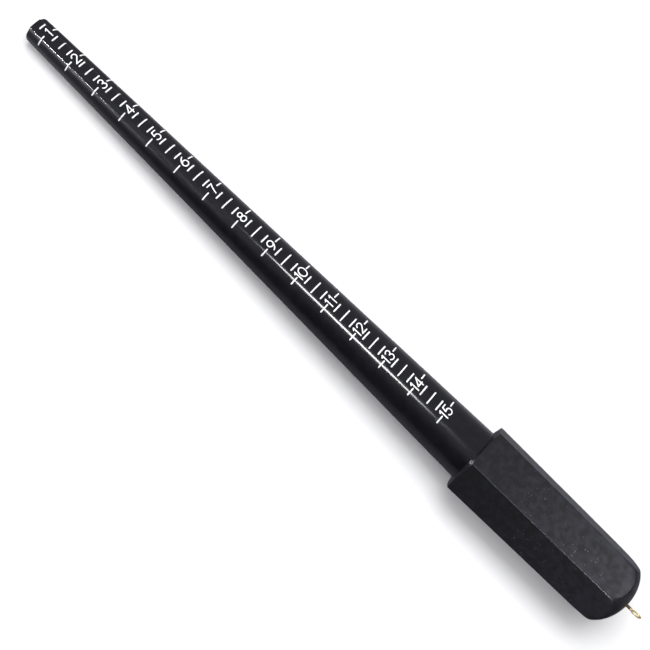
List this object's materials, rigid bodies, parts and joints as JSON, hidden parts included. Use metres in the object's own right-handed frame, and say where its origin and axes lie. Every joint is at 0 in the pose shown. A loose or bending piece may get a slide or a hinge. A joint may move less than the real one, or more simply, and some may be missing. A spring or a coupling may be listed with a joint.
{
  "type": "ring mandrel",
  "caption": "Tapered black plastic ring-sizing stick with a stone groove, a printed US size scale, a hexagonal handle and a brass hanging eye.",
  "frame": {"origin": "centre of the flat end face at the stick's narrow tip, on the stick's axis", "axes": "+X along the axis from the tip to the handle's butt; +Z towards the side that carries the size scale, opposite the groove; a flat of the handle faces +Z and one faces -Z; +Y completes the right-handed frame"},
  "size_m": [0.3566, 0.036, 0.0312],
  "materials": {
    "gloss_black": "glossy moulded black plastic with faint lengthwise polishing marks",
    "satin_black": "satin moulded black plastic with a fine grain and light scuffs",
    "brass": "polished brass wire",
    "print_white": null
  },
  "bodies": {
    "tool": {"stick": "gloss_black", "handle": "satin_black"},
    "eye": {"screw_eye": "brass"}
  },
  "joints": [
    {"name": "eye_turn", "type": "hinge", "parent": "tool", "child": "eye", "pos_m": [0.349, 0, 0], "axis": [1, 0, 0], "range_deg": [-90, 90]}
  ]
}
